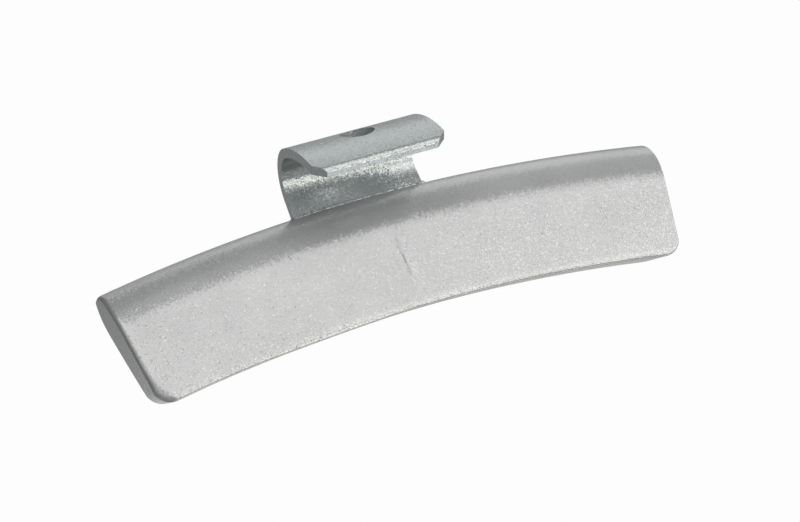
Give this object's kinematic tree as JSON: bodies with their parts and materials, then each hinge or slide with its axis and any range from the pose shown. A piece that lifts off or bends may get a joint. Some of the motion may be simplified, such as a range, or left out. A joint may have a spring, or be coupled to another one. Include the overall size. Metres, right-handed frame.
{
  "type": "wheel balance weight",
  "caption": "Clip-on wheel balance weight: a curved cast bar with a rounded crown and a curled steel clip, cast into its top, that grips the flange of a wheel rim.",
  "frame": {"origin": "middle of the flat outer face, which the weight lies on", "axes": "+X along the weight, +Y away from the wheel's centre towards the clip, +Z out of the rim face"},
  "size_m": [0.0724, 0.0255, 0.0157],
  "materials": {
    "weight_coat": "silver metal-flake paint over cast zinc",
    "clip_coat": "silver metal-flake paint over spring steel"
  },
  "bodies": {
    "root": {"weight_body": "weight_coat", "rim_clip": "clip_coat"}
  },
  "joints": []
}
